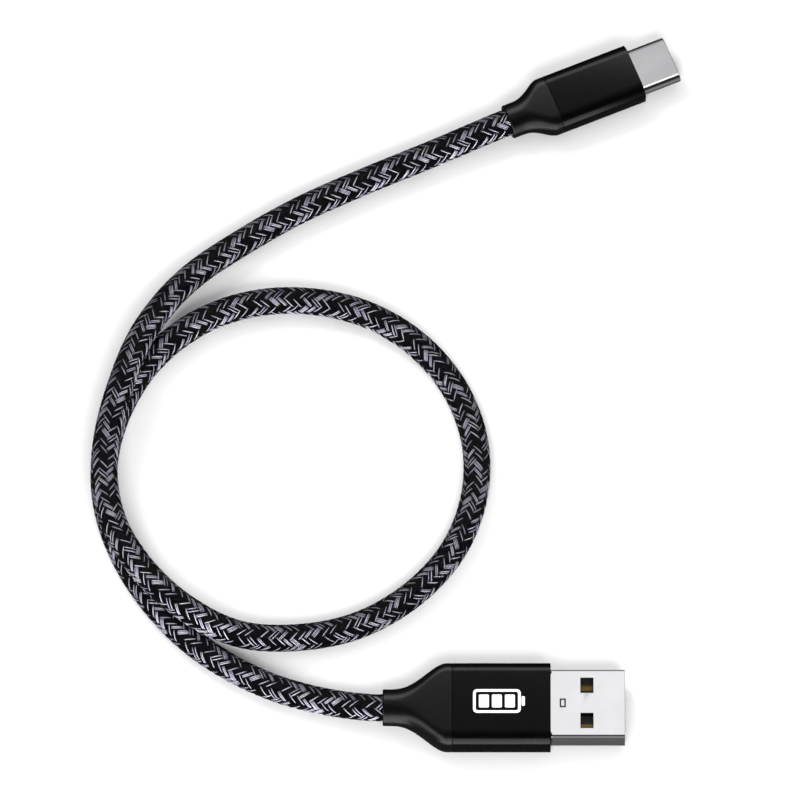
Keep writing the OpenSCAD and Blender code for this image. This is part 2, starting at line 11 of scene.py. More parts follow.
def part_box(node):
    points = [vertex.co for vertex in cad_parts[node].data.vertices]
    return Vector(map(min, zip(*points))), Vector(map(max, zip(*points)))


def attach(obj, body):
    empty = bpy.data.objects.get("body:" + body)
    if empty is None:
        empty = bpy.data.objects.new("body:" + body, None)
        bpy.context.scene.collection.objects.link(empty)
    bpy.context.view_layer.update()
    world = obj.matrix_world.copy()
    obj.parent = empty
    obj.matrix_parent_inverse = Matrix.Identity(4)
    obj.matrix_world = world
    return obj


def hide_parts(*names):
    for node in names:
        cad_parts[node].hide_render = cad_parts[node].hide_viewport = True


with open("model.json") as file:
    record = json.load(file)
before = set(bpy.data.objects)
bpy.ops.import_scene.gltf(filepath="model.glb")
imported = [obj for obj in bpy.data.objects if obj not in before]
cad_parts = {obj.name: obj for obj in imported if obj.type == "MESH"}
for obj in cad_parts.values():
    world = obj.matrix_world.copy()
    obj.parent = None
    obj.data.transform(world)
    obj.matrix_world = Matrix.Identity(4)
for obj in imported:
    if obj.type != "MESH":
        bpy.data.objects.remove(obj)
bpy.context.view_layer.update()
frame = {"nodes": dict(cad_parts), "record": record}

MM = 0.001
scene = bpy.context.scene
scene.view_settings.view_transform = "Standard"


# ---- Sizes in millimetres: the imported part's, and those of details that it leaves to the looks ----

FIT = 0.05
CABLE = dict(r=2.25, jacket_r=1.83, jacket_bore=1.45, foil_r=1.4, foil_bore=1.3, wire_r=0.45,
             bundle_r=0.716, rest=2.25, collar_r=2.15, lead=1.5)
# The boot's neck goes on straight for a share of its length and swells over another
HOST = dict(w=14.5, h=7, length=16.3, edge=2.2, wall=0.6, rim=0.12, boot=11.5, neck=6.1,
            straight=0.1, swell=0.83, shell_out=12.3, braid_in=4, jacket_in=2.3, spigot=1.7,
            wire_y=(-3.5, -1, 1, 3.5), wire_x=(-1.0, -2.0))
DEVICE = dict(w=9.9, h=5.8, length=14.8, edge=2.2, wall=0.45, rim=0.1, boot=8.2, neck=5.8,
              straight=0.2, swell=0.68, shell_out=6.65, braid_in=2.8, jacket_in=2.2, spigot=1.7,
              wire_y=(2.1, 0.7, -0.7, -2.1), wire_x=(-2.8, -2.0))
HOST_SHELL = dict(w=12, h=4.5, edge=0.5, sheet=0.3, lead=0.05, length=18.75, bevel=0.03, seam=0.06)
DEVICE_SHELL = dict(w=8.25, h=2.4, edge=1.199, sheet=0.25, lead=0.08, length=11)
WINDOW = dict(length=2.15, w=2.7, pitch=6.25, back=6.3)
STAMP = dict(length=1.0, w=1.55, back=10.3, line=0.23, depth=0.12, unfilled=0.02)
MARK = dict(at=(-0.75, -0.15), case=(7.9, 4.2, 0.7), inside=(7.0, 3.3, 0.35), bar=(1.65, 2.3, 0.2),
            bar_pitch=2.15, terminal=(0.55, 1.7, 0.2), terminal_x=3.6, proud=0.012, thick=0.03)
# The yarns' widths and heights, and how the weave is wound: angles in degrees, the roll per metre
BRAID = dict(pitch=14.4, middle_r=2.055, lift=0.1, spacing=0.236, light_w=0.21, dark_w=0.262,
             thick=0.2, turn=21, roll=-20, sides=5)

# The cable's route from the host plug to the device plug
LOOP = (
    (-28.5, 1.3, 2.6), (-37, 3.8, 2.25), (-45, 7.7, 2.25), (-52, 12.9, 2.25),
    (-57.8, 19.4, 2.25), (-62.3, 26.8, 2.25), (-65.2, 35, 2.25), (-65.9, 43.5, 2.25),
    (-63.7, 53, 2.25), (-58.4, 62.2, 2.25), (-50.5, 69, 2.25), (-41.5, 72.5, 2.25),
    (-32, 73, 2.25), (-22.5, 70.7, 2.25), (-14, 65.3, 2.25), (-7.6, 57.2, 2.25),
    (-4.3, 47.5, 2.25), (-4.5, 37.8, 2.25), (-8, 28.4, 2.25), (-14.6, 20.7, 2.25),
    (-23.5, 15.2, 2.25), (-33.5, 12.9, 2.4), (-43.5, 13, 3.8), (-52.3, 16.7, 6.1),
    (-59.4, 23.3, 6.9), (-64.1, 31.3, 6.9), (-65.8, 39.5, 6.9), (-65.3, 47.5, 6.9),
    (-62.9, 57, 6.8), (-59.8, 65.2, 5.9), (-55.3, 72.6, 4.2), (-50.4, 78.1, 2.8),
    (-43.6, 83.2, 2.25), (-33.8, 89.2, 2.25), (-23, 94.4, 2.25), (-11.5, 99.4, 2.4),
)


# ---- Places ----

def plug_frame(mount_name, plug):
    """Takes millimetres along, across and above a plug's own axis, from its sleeve's middle."""
    mount = next(m for m in frame["record"]["mounts"] if m["name"] == mount_name)
    mouth, way = Vector(mount["pos_m"]), Vector(mount["axis"])
    middle = mouth - way * (plug["length"] / 2 + plug["shell_out"]) * MM
    turn = Matrix.Rotation(math.atan2(way.y, way.x), 4, "Z")
    return Matrix.Translation(middle) @ turn @ Matrix.Scale(MM, 4)


HOST_FRAME = plug_frame("host_plug", HOST)
DEVICE_FRAME = plug_frame("device_plug", DEVICE)


def neck_of(plug):
    return -plug["length"] / 2 - plug["boot"]


def smooth_line(points, step):
    """A centripetal Catmull-Rom line through the points, with even steps along it."""
    p = np.array(points, float)
    p = np.vstack([2 * p[0] - p[1], p, 2 * p[-1] - p[-2]])
    knots = np.concatenate([[0], np.cumsum(np.linalg.norm(np.diff(p, axis=0), axis=1) ** 0.5)])
    fine = 40
    dense = []
    for i in range(1, len(p) - 2):
        t0, t1, t2, t3 = knots[i - 1:i + 3]
        t = np.linspace(t1, t2, fine, endpoint=False)[:, None]
        a1 = (t1 - t) / (t1 - t0) * p[i - 1] + (t - t0) / (t1 - t0) * p[i]
        a2 = (t2 - t) / (t2 - t1) * p[i] + (t - t1) / (t2 - t1) * p[i + 1]
        a3 = (t3 - t) / (t3 - t2) * p[i + 1] + (t - t2) / (t3 - t2) * p[i + 2]
        b1 = (t2 - t) / (t2 - t0) * a1 + (t - t0) / (t2 - t0) * a2
        b2 = (t3 - t) / (t3 - t1) * a2 + (t - t1) / (t3 - t1) * a3
        dense.append((t2 - t) / (t2 - t1) * b1 + (t - t1) / (t2 - t1) * b2)
    dense = np.vstack(dense + [p[-2:-1]])
    along = np.concatenate([[0], np.cumsum(np.linalg.norm(np.diff(dense, axis=0), axis=1))])
    even = np.linspace(0, along[-1], int(along[-1] / step) + 1)
    return np.column_stack([np.interp(even, along, dense[:, k]) for k in range(3)])


def layer_line(host_x, device_x, step):
    """The axis of a layer that starts at host_x inside one plug and ends at device_x in the other."""
    def at(matrix, x):
        return list(matrix @ Vector((x, 0, 0)))

    loop = [[x * MM, y * MM, max(z, CABLE["rest"]) * MM] for x, y, z in LOOP]
    points = [at(HOST_FRAME, host_x), at(HOST_FRAME, neck_of(HOST)),
              at(HOST_FRAME, neck_of(HOST) - CABLE["lead"]), *loop,
              at(DEVICE_FRAME, neck_of(DEVICE) - CABLE["lead"]),
              at(DEVICE_FRAME, neck_of(DEVICE)), at(DEVICE_FRAME, device_x)]
    line = smooth_line(points, step * MM)
    line[:, 2] = np.maximum(line[:, 2], CABLE["rest"] * MM)
    return line


# ---- Camera, lights and floor ----

# Degrees, and the same millimetres as the part, but for the lens
CAMERA = dict(elevation=68.3, target=(-16.77, 56.2, 0), seen_w=133.1, lens=1200, sensor=36)
# The middle of the part in metres, where every light points
LIGHTS_TARGET = (-0.017, 0.056, 0)
BLACK_PIECES = ("host_sleeve_metal", "host_boot_moulded", "device_sleeve_metal",
                "device_boot_moulded")
BOOTS = ("host_boot_moulded", "device_boot_moulded")
LIGHT_YARNS = ("yarns_light_right", "yarns_light_left")

# Soft lights: place and size in metres, power in watts, and the rays that see them. A glossy one
# only draws highlights. One with pieces shines on those alone.
SOFTBOXES = {
    "front softbox": dict(at=(0.05, -0.54, 0.62), size=(0.55, 0.4), power=7.6, seen_by="diffuse"),
    "back softbox": dict(at=(-0.45, 0.56, 0.6), size=(0.4, 0.35), power=3.8, seen_by="diffuse"),
    "yarn fill": dict(at=(0.0, -1.6, 0.2), size=(2.4, 0.6), power=125.0, seen_by="diffuse",
                      pieces=LIGHT_YARNS),
    "back strip": dict(at=(0.0, 0.73, 0.65), size=(0.9, 0.42), power=12.0, seen_by="glossy",
                       pieces=BLACK_PIECES),
    "low front strip": dict(at=(0.0, -0.85, -0.12), size=(1.2, 0.9), power=34.0,
                            seen_by="glossy", pieces=BLACK_PIECES + LIGHT_YARNS),
    "left front strip": dict(at=(-0.75, -0.55, 0.22), size=(0.8, 0.45), power=10.0,
                             seen_by="glossy", pieces=BOOTS),
    "top strip": dict(at=(0.25, -0.06, 0.9), size=(0.8, 0.22), power=1.7, seen_by="glossy",
                      pieces=("device_shell_steel",)),
}


def aim_camera():
    elevation = math.radians(CAMERA["elevation"])
    back = Vector((0, -math.cos(elevation), math.sin(elevation)))
    target = Vector(CAMERA["target"]) * MM
    data = bpy.data.cameras.new("camera")
    data.lens = CAMERA["lens"]
    data.sensor_width = CAMERA["sensor"]
    camera = bpy.data.objects.new("camera", data)
    scene.collection.objects.link(camera)
    width = CAMERA["seen_w"] * MM
    camera.location = target + back * (width * data.lens / data.sensor_width)
    camera.rotation_mode = "QUATERNION"
    camera.rotation_quaternion = (-back).to_track_quat("-Z", "Y")
    data.clip_start = 0.05
    data.clip_end = 20
    scene.camera = camera


def softbox(name, at, size, power, seen_by):
    """A soft light aimed at the part, which the camera doesn't see."""
    data = bpy.data.lights.new(name, "AREA")
    data.shape = "RECTANGLE"
    data.size, data.size_y = size
    data.energy = power
    light = bpy.data.objects.new(name, data)
    scene.collection.objects.link(light)
    light.location = at
    light.rotation_mode = "QUATERNION"
    light.rotation_quaternion = (Vector(LIGHTS_TARGET) - Vector(at)).to_track_quat("-Z", "Y")
    light.visible_camera = False
    light.visible_diffuse = seen_by == "diffuse"
    light.visible_glossy = seen_by == "glossy"


def build_world():
    """A bright room overhead that gets dark to the front, with a paler band round the horizon."""
    world = bpy.data.worlds.new("studio")
    scene.world = world
    world.use_nodes = True
    tree = Tree(world.node_tree)
    back = world.node_tree.nodes["Background"]
    way = tree.add("ShaderNodeSeparateXYZ", {0: tree.add("ShaderNodeTexCoord").outputs["Generated"]})

    def mapped(axis, low, high, at_low, at_high):
        return tree.add("ShaderNodeMapRange", {
            "Value": way.outputs[axis], "From Min": low, "From Max": high,
            "To Min": at_low, "To Max": at_high}).outputs[0]

    # Each line: an axis, two heights on that axis of the way looked, and the brightness at each
    ceiling = mapped("Z", 0.0, 0.85, 0.04, 1.0)
    dark_front = mapped("Y", -0.45, 0.1, 0.04, 1.0)
    below_horizon = mapped("Z", -0.93, -0.4, 0.11, 0.4)
    above_horizon = mapped("Z", 0.12, 0.4, 0.36, 0.0)
    dim_back = mapped("Y", 0.0, 0.5, 1.0, 0.1)
    overhead = tree.maths("MULTIPLY", ceiling, dark_front)
    horizon = tree.maths("MINIMUM", below_horizon, above_horizon)
    band = tree.maths("MULTIPLY", horizon, dim_back)
    tree.join(tree.maths("MAXIMUM", overhead, band), back.inputs["Strength"])
    back.inputs["Color"].default_value = (1, 1, 1, 1)


def build_softboxes():
    for name, box in SOFTBOXES.items():
        softbox(name, box["at"], box["size"], box["power"], box["seen_by"])


def shine_on(light, pieces):
    """Keeps a light to these pieces alone."""
    group = bpy.data.collections.new(light + " pieces")
    for piece in pieces:
        group.objects.link(bpy.data.objects[piece])
    bpy.data.objects[light].light_linking.receiver_collection = group


def link_softboxes():
    """Keeps the lights to their own pieces. The back softbox leaves out only the light yarns."""
    for name, box in SOFTBOXES.items():
        if "pieces" in box:
            shine_on(name, box["pieces"])
    meshes = [piece.name for piece in scene.objects if piece.type == "MESH"]
    shine_on("back softbox", [name for name in meshes if name not in LIGHT_YARNS])


def link_object(name, data):
    piece = bpy.data.objects.new(name, data)
    scene.collection.objects.link(piece)
    return piece


# ---- Node trees ----

class Tree:
    """A node tree being built. A node's inputs are other nodes' sockets or plain values."""

    def __init__(self, tree):
        self.tree = tree

    def add(self, kind, inputs=None, **settings):
        node = self.tree.nodes.new(kind)
        for name, value in settings.items():
            setattr(node, name, value)
        for key, value in (inputs or {}).items():
            self.join(value, node.inputs[key])
        return node

    def join(self, value, socket):
        if isinstance(value, bpy.types.NodeSocket):
            self.tree.links.new(value, socket)
        else:
            socket.default_value = value

    def maths(self, operation, *values):
        return self.add("ShaderNodeMath", dict(enumerate(values)), operation=operation).outputs[0]

    def vector(self, operation, *values):
        return self.add("ShaderNodeVectorMath", dict(enumerate(values)),
                        operation=operation).outputs[0]

    def times(self, vector, factor):
        return self.add("ShaderNodeVectorMath", {0: vector, "Scale": factor},
                        operation="SCALE").outputs[0]


def new_tree(name, **inputs):
    """An empty geometry tree with these named inputs, and its group input node's sockets."""
    group = bpy.data.node_groups.new(name, "GeometryNodeTree")
    group.interface.new_socket("Geometry", in_out="INPUT", socket_type="NodeSocketGeometry")
    for key, kind in inputs.items():
        group.interface.new_socket(key.replace("_", " "), in_out="INPUT",
                                   socket_type="NodeSocket" + kind)
    group.interface.new_socket("Geometry", in_out="OUTPUT", socket_type="NodeSocketGeometry")
    tree = Tree(group)
    return tree, tree.add("NodeGroupInput").outputs


def end_tree(tree, geometry, material):
    """Every tree ends in real geometry with its material on it."""
    real = tree.add("GeometryNodeRealizeInstances", {"Geometry": geometry})
    smooth = tree.add("GeometryNodeSetShadeSmooth", {"Geometry": real.outputs[0]})
    done = tree.add("GeometryNodeSetMaterial", {"Geometry": smooth.outputs[0], "Material": material})
    tree.add("NodeGroupOutput", {0: done.outputs[0]})
    return tree.tree


def grown(name, source, tree, **values):
    """The plain mesh that a geometry tree makes of a source object, which is then removed."""
    modifier = source.modifiers.new("tree", "NODES")
    modifier.node_group = tree
    ids = {s.name: s.identifier for s in tree.interface.items_tree if s.in_out == "INPUT"}
    for key, value in values.items():
        modifier[ids[key.replace("_", " ")]] = value
    view = bpy.context.evaluated_depsgraph_get()
    mesh = bpy.data.meshes.new_from_object(source.evaluated_get(view))
    mesh.name = name
    piece = link_object(name, mesh)
    bpy.data.objects.remove(source)
    return piece


def yarn_tree():
    """Yarns on a braid's carriers, in one direction round a route: over two carriers of the other
    direction, then under two."""
    tree, given = new_tree(
        "braid_yarns", Route="Object", Carriers="Int", Pitch="Float", Middle_radius="Float",
        Lift="Float", Yarn_spacing="Float", Yarn_width="Float", Yarn_thickness="Float",
        Hand="Int", Turn="Float", Roll="Float", Sides="Int", Material="Material")
    route = tree.add("GeometryNodeObjectInfo", {"Object": given["Route"]}).outputs["Geometry"]
    copies = tree.add("GeometryNodeInstanceOnPoints",
                      {"Points": given["Geometry"], "Instance": route})
    lines = tree.add("GeometryNodeRealizeInstances", {"Geometry": copies.outputs[0]}).outputs[0]
    along = tree.add("GeometryNodeSplineParameter").outputs["Length"]
    tangent = tree.add("GeometryNodeInputTangent").outputs[0]
    carrier = tree.add("GeometryNodeInputNamedAttribute", {"Name": "carrier"},
                       data_type="FLOAT").outputs[0]
    place = tree.add("GeometryNodeInputNamedAttribute", {"Name": "place"},
                     data_type="FLOAT").outputs[0]
    side = tree.vector("NORMALIZE", tree.vector("CROSS_PRODUCT", tangent, (0, 0, 1)))
    up = tree.vector("CROSS_PRODUCT", side, tangent)
    # How far round the cable a carrier has gone, and how wide a yarn lies there
    turns = tree.maths("DIVIDE", along, given["Pitch"])
    wound = tree.maths("MULTIPLY", tree.maths("MULTIPLY", turns, math.tau), given["Hand"])
    girth = tree.maths("MULTIPLY", given["Middle radius"], math.tau)
    slant = tree.maths("DIVIDE", given["Pitch"],
                       tree.maths("SQRT", tree.maths("ADD", tree.maths("POWER", given["Pitch"], 2),
                                                     tree.maths("POWER", girth, 2))))
    apart = tree.maths("DIVIDE", given["Yarn spacing"],
                       tree.maths("MULTIPLY", given["Middle radius"], slant))
    start = tree.maths("DIVIDE", tree.maths("MULTIPLY", carrier, math.tau), given["Carriers"])
    angle = tree.maths("ADD", tree.maths("ADD", start, wound), tree.maths("MULTIPLY", place, apart))
    # Where it stands among the carriers that it crosses, which says if it is over or under them
    crossed = tree.maths("MULTIPLY", tree.maths("ADD", angle, wound),
                         tree.maths("DIVIDE", given["Carriers"], math.pi))
    own = tree.maths("ADD", tree.maths("MULTIPLY", carrier, 2),
                     tree.maths("SUBTRACT", tree.maths("MULTIPLY", given["Hand"], 2), 3))
    phase = tree.maths("ADD", crossed, own)
    wave = tree.maths("MULTIPLY", tree.maths("COSINE", tree.maths("MULTIPLY", phase, math.pi / 4)),
                      math.sqrt(2))
    level = tree.maths("MAXIMUM", tree.maths("MINIMUM", wave, 1), -1)
    radius = tree.maths("ADD", given["Middle radius"], tree.maths("MULTIPLY", level, given["Lift"]))
    shown = tree.maths("ADD", tree.maths("ADD", angle, given["Turn"]),
                       tree.maths("MULTIPLY", given["Roll"], along))
    outward = tree.vector("ADD", tree.times(side, tree.maths("COSINE", shown)),
                          tree.times(up, tree.maths("SINE", shown)))
    kept = tree.add("GeometryNodeStoreNamedAttribute",
                    {"Geometry": lines, "Name": "along", "Value": along},
                    data_type="FLOAT", domain="POINT")
    raised = tree.add("GeometryNodeStoreNamedAttribute",
                      {"Geometry": kept.outputs[0], "Name": "raised", "Value": level},
                      data_type="FLOAT", domain="POINT")
    facing = tree.add("GeometryNodeSetCurveNormal",
                      {"Curve": raised.outputs[0], "Normal": outward}, mode="FREE")
    wrapped = tree.add("GeometryNodeSetPosition",
                       {"Geometry": facing.outputs[0], "Offset": tree.times(outward, radius)})
    circle = tree.add("GeometryNodeCurvePrimitiveCircle",
                      {"Resolution": given["Sides"], "Radius": 0.5})
    rounded = tree.add("GeometryNodeStoreNamedAttribute",
                       {"Geometry": circle.outputs[0], "Name": "round",
                        "Value": tree.add("GeometryNodeInputPosition").outputs[0]},
                       data_type="FLOAT_VECTOR", domain="POINT")
    section = tree.add("ShaderNodeCombineXYZ", {"X": given["Yarn thickness"],
                                                "Y": given["Yarn width"], "Z": 1.0})
    flat = tree.add("GeometryNodeTransform",
                    {"Geometry": rounded.outputs[0], "Scale": section.outputs[0]})
    yarns = tree.add("GeometryNodeCurveToMesh",
                     {"Curve": wrapped.outputs[0], "Profile Curve": flat.outputs[0],
                      "Fill Caps": True})
    return end_tree(tree, yarns.outputs[0], given["Material"])


def layer_tree():
    """A round hollow layer, or a solid one where Wall is its radius, along the source's own line."""
    tree, given = new_tree("cable_layer", Radius="Float", Wall="Float", Sides="Int",
                           Material="Material")
    line = tree.add("GeometryNodeMeshToCurve", {"Mesh": given["Geometry"]})
    along = tree.add("GeometryNodeSplineParameter").outputs["Length"]
    kept = tree.add("GeometryNodeStoreNamedAttribute",
                    {"Geometry": line.outputs[0], "Name": "along", "Value": along},
                    data_type="FLOAT", domain="POINT")
    upright = tree.add("GeometryNodeSetCurveNormal", {"Curve": kept.outputs[0]}, mode="Z_UP")
    circle = tree.add("GeometryNodeCurvePrimitiveCircle",
                      {"Resolution": given["Sides"], "Radius": given["Radius"]})
    solid = tree.maths("COMPARE", given["Wall"], given["Radius"])
    outside = tree.add("GeometryNodeCurveToMesh",
                       {"Curve": upright.outputs[0], "Profile Curve": circle.outputs[0],
                        "Fill Caps": solid})
    inward = tree.maths("MULTIPLY", given["Wall"], -1)
    inside = tree.add("GeometryNodeExtrudeMesh",
                      {"Mesh": outside.outputs[0], "Offset Scale": inward, "Individual": False})
    turned = tree.add("GeometryNodeFlipFaces", {"Mesh": inside.outputs[0]})
    both = tree.add("GeometryNodeJoinGeometry")
    for part in (outside.outputs[0], turned.outputs[0]):
        tree.tree.links.new(part, both.inputs[0])
    merged = tree.add("GeometryNodeMergeByDistance",
                      {"Geometry": both.outputs[0], "Distance": 0.000001})
    chosen = tree.add("GeometryNodeSwitch", {"Switch": solid, "False": merged.outputs[0],
                                             "True": outside.outputs[0]}, input_type="GEOMETRY")
    return end_tree(tree, chosen.outputs[0], given["Material"])


# ---- Finishes ----

# How fine a finish's slow drift is, and how much a yarn's pattern is squeezed along the yarn
DRIFT_SCALE = 260.0
STREAK_SCALE = 250.0


def colour_ramp(tree, value, low, dark, high, light):
    """Fades from a dark colour, where the value is low, to a light one, where it is high."""
    ramp = tree.add("ShaderNodeValToRGB", {"Fac": value})
    ramp.color_ramp.elements[0].position = low
    ramp.color_ramp.elements[0].color = (*dark, 1)
    ramp.color_ramp.elements[1].position = high
    ramp.color_ramp.elements[1].color = (*light, 1)
    return ramp.outputs[0]


def finish(name, colour, rough, metallic=0.0, mottle=0.12, grain=(900, 0.00002), rough_spread=0.08,
           stretch=(1, 1, 1), **sockets):
    """A procedural material. Its colour and roughness drift a little, and its grain is a fine bump
    that is grain[0] waves to the metre and grain[1] metres deep; stretch squeezes the grain."""
    material = bpy.data.materials.new(name)
    material.use_nodes = True
    tree = Tree(material.node_tree)
    shader = material.node_tree.nodes["Principled BSDF"]
    place = tree.add("ShaderNodeTexCoord").outputs["Object"]
    mapped = tree.add("ShaderNodeMapping", {"Vector": place, "Scale": stretch}).outputs[0]
    drift = tree.add("ShaderNodeTexNoise", {"Vector": place, "Scale": DRIFT_SCALE, "Detail": 4.0})
    dark = tuple(c * (1 - mottle) for c in colour)
    light = tuple(min(1, c * (1 + mottle)) for c in colour)
    ramp = colour_ramp(tree, drift.outputs[0], 0.3, dark, 0.7, light)
    grains = tree.add("ShaderNodeTexNoise", {"Vector": mapped, "Scale": grain[0], "Detail": 3.0})
    roughness = tree.add("ShaderNodeMapRange", {
        "Value": grains.outputs[0], "From Min": 0.3, "From Max": 0.7,
        "To Min": max(0.02, rough - rough_spread), "To Max": min(1, rough + rough_spread)})
    bump = tree.add("ShaderNodeBump", {"Height": grains.outputs[0], "Distance": grain[1],
                                       "Strength": 1.0})
    tree.join(ramp, shader.inputs["Base Color"])
    tree.join(roughness.outputs[0], shader.inputs["Roughness"])
    tree.join(bump.outputs[0], shader.inputs["Normal"])
    shader.inputs["Metallic"].default_value = metallic
    for key, value in sockets.items():
        shader.inputs[key.replace("_", " ")].default_value = value
    return material


def yarn_finish(name, colour, tint, rough, specular):
    """Bundles of fine filaments: streaks along the yarn, a colour that drifts yarn by yarn, and
    painted shade at its edges and where it dives under another."""
    material = bpy.data.materials.new(name)
    material.use_nodes = True
    tree = Tree(material.node_tree)
    shader = material.node_tree.nodes["Principled BSDF"]
    along = tree.add("ShaderNodeAttribute", attribute_name="along").outputs["Fac"]
    around = tree.add("ShaderNodeAttribute", attribute_name="round").outputs["Vector"]
    carrier = tree.add("ShaderNodeAttribute", attribute_name="carrier").outputs["Fac"]
    place = tree.add("ShaderNodeAttribute", attribute_name="place").outputs["Fac"]
    # Each yarn reads its own stretch of the noise
    own = tree.maths("ADD", tree.maths("MULTIPLY", carrier, 7.3), tree.maths("MULTIPLY", place, 2.9))
    offset = tree.add("ShaderNodeCombineXYZ", {"X": own, "Y": own,
                                               "Z": tree.maths("MULTIPLY", along, STREAK_SCALE)
                                               }).outputs[0]
    spot = tree.vector("ADD", tree.times(around, 5.0), offset)
    fibres = tree.add("ShaderNodeTexNoise",
                      {"Vector": spot, "Scale": 1.6, "Detail": 2.0}).outputs[0]
    drift = tree.add("ShaderNodeTexNoise",
                     {"Vector": offset, "Scale": 0.35, "Detail": 1.0}).outputs[0]
    ramp = colour_ramp(tree, drift, 0.35, colour, 0.65, tint)
    shade = tree.add("ShaderNodeMapRange", {"Value": fibres, "From Min": 0.3, "From Max": 0.7,
                                            "To Min": 0.45, "To Max": 1.25})
    # Painted shade: the colour darkens towards the yarn's edges, where its neighbours would shade it
    edge = tree.maths("ABSOLUTE", tree.add("ShaderNodeSeparateXYZ", {0: around}).outputs["Y"])
    core = tree.add("ShaderNodeMapRange", {"Value": edge, "From Min": 0.1, "From Max": 0.5,
                                           "To Min": 1.0, "To Max": 0.2}).outputs[0]
    # Painted shade: the colour darkens where the yarn dives under the carriers that it crosses
    height = tree.add("ShaderNodeAttribute", attribute_name="raised").outputs["Fac"]
    dive = tree.add("ShaderNodeMapRange", {"Value": height, "From Min": -0.3, "From Max": 0.9,
                                           "To Min": 0.15, "To Max": 1.0}).outputs[0]
    lit = tree.maths("MULTIPLY", shade.outputs[0], tree.maths("MULTIPLY", core, dive))
    streaks_and_painted_shade = tree.times(ramp, lit)
    bump = tree.add("ShaderNodeBump", {"Height": fibres, "Distance": 0.00003, "Strength": 0.7})
    tree.join(streaks_and_painted_shade, shader.inputs["Base Color"])
    tree.join(bump.outputs[0], shader.inputs["Normal"])
    shader.inputs["Roughness"].default_value = rough
    shader.inputs["Specular IOR Level"].default_value = specular
    return material


FINISHES = {
    "plug_steel": finish("bright_steel", (0.83, 0.83, 0.85), 0.15, 1.0, 0.03, (1500, 0.0000005),
                         0.03, (0.12, 1, 1)),
    "shield_steel": finish("dull_tin", (0.62, 0.63, 0.65), 0.42, 1.0, 0.1, (1200, 0.000004)),
    "sleeve_black": finish("black_anodised", (0.0008, 0.0008, 0.0009), 0.26, 0.0, 0.25,
                           (9000, 0.000001), 0.05, Specular_IOR_Level=0.07),
    "boot_black": finish("black_elastomer", (0.0012, 0.0012, 0.0013), 0.34, 0.0, 0.25,
                         (5200, 0.000002), 0.06, Specular_IOR_Level=0.105),
    "insulator_black": finish("black_nylon", (0.02, 0.02, 0.022), 0.45, 0.0, 0.2,
                              (4000, 0.000004)),
    "mould_white": finish("white_mould", (0.80, 0.80, 0.76), 0.5, 0.0, 0.05, (2500, 0.000006)),
    # Gold darkened far below real gold: painted shade for contacts that sit in the shell's shade
    # behind its windows
    "contact_gold": finish("gold_with_painted_shade", (0.19, 0.13, 0.042), 0.36, 1.0, 0.1, (1800, 0.000001),
                           0.08, (0.1, 1, 1)),
    "copper": finish("copper_strand", (0.80, 0.42, 0.24), 0.35, 1.0, 0.15, (6000, 0.00002),
                     0.1, (0.15, 1, 1)),
    "solder": finish("solder_bead", (0.68, 0.69, 0.71), 0.3, 1.0, 0.1, (1500, 0.00003)),
    "board_green": finish("solder_mask", (0.02, 0.14, 0.07), 0.35, 0.0, 0.3, (1600, 0.00001)),
    "chip_black": finish("chip_black", (0.02, 0.02, 0.02), 0.55, 0.0, 0.2, (5000, 0.000004)),
    "jacket_black": finish("jacket_black", (0.012, 0.012, 0.013), 0.6, 0.0, 0.25,
                           (3000, 0.00001)),
    "foil": finish("crinkled_foil", (0.75, 0.76, 0.78), 0.25, 1.0, 0.08, (700, 0.00006)),
    "wire_red": finish("red_insulation", (0.50, 0.02, 0.02), 0.4, 0.0, 0.12, (3000, 0.000006)),
    "wire_white": finish("white_insulation", (0.75, 0.75, 0.72), 0.4, 0.0, 0.06,
                         (3000, 0.000006)),
    "wire_green": finish("green_insulation", (0.02, 0.25, 0.06), 0.4, 0.0, 0.12,
                         (3000, 0.000006)),
    "wire_black": finish("black_insulation", (0.015, 0.015, 0.015), 0.4, 0.0, 0.2,
                         (3000, 0.000006)),
}
YARN_LIGHT = yarn_finish("light_yarn", (0.21, 0.20, 0.28), (0.42, 0.41, 0.47), 0.32, 0.5)
YARN_DARK = yarn_finish("dark_yarn", (0.003, 0.003, 0.006), (0.010, 0.009, 0.008), 0.36, 0.12)
# The same steel as the host shell's, painted darker: painted shade, so that the device shell's flat
# shows mid grey
STEEL_WITH_PAINTED_SHADE = finish("steel_with_painted_shade", (0.50, 0.50, 0.51), 0.15, 1.0, 0.05, (1500, 0.0000005), 0.03,
                     (0.12, 1, 1))
PRINT_WHITE = finish("printed_white", (0.93, 0.93, 0.93), 0.45, 0.0, 0.03, (5000, 0.000001))
# Near-black for the stamped groove: painted shade
STAMP_PAINTED_SHADE = finish("stamp_painted_shade", (0.012, 0.012, 0.013), 0.5, 0.0, 0.2, (4000, 0.000002))


def add_piece(piece, replaced):
    """A finished piece: its mesh is in place in the frame, and it rides the part's one body."""
    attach(piece, "root")
    if replaced:
        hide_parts(*replaced)
    return piece


# ---- The cable ----

# Yarns of each carrier, from one of its edges to the other: light ones and dark ones
CARRIER_YARNS = ("dddl", "dlld", "llld", "ddld", "dldd", "dddd", "lddd", "ldld", "dlld", "dddl")
YARNS_EACH = 4
LEFT_SHIFT = 8
HANDS = {"right": 1, "left": -1}
# Where the wires lie round the cable's axis, in degrees
WIRE_ANGLE = (135, 225, 315, 45)


def line_object(name, points):
    mesh = bpy.data.meshes.new(name)
    mesh.from_pydata([tuple(p) for p in points], [(i, i + 1) for i in range(len(points) - 1)], [])
    return link_object(name, mesh)


def route_curve(points):
    data = bpy.data.curves.new("route", "CURVE")
    data.dimensions = "3D"
    spline = data.splines.new("POLY")
    spline.points.add(len(points) - 1)
    spline.points.foreach_set("co", np.column_stack([points, np.ones(len(points))]).ravel())
    return link_object("route", data)


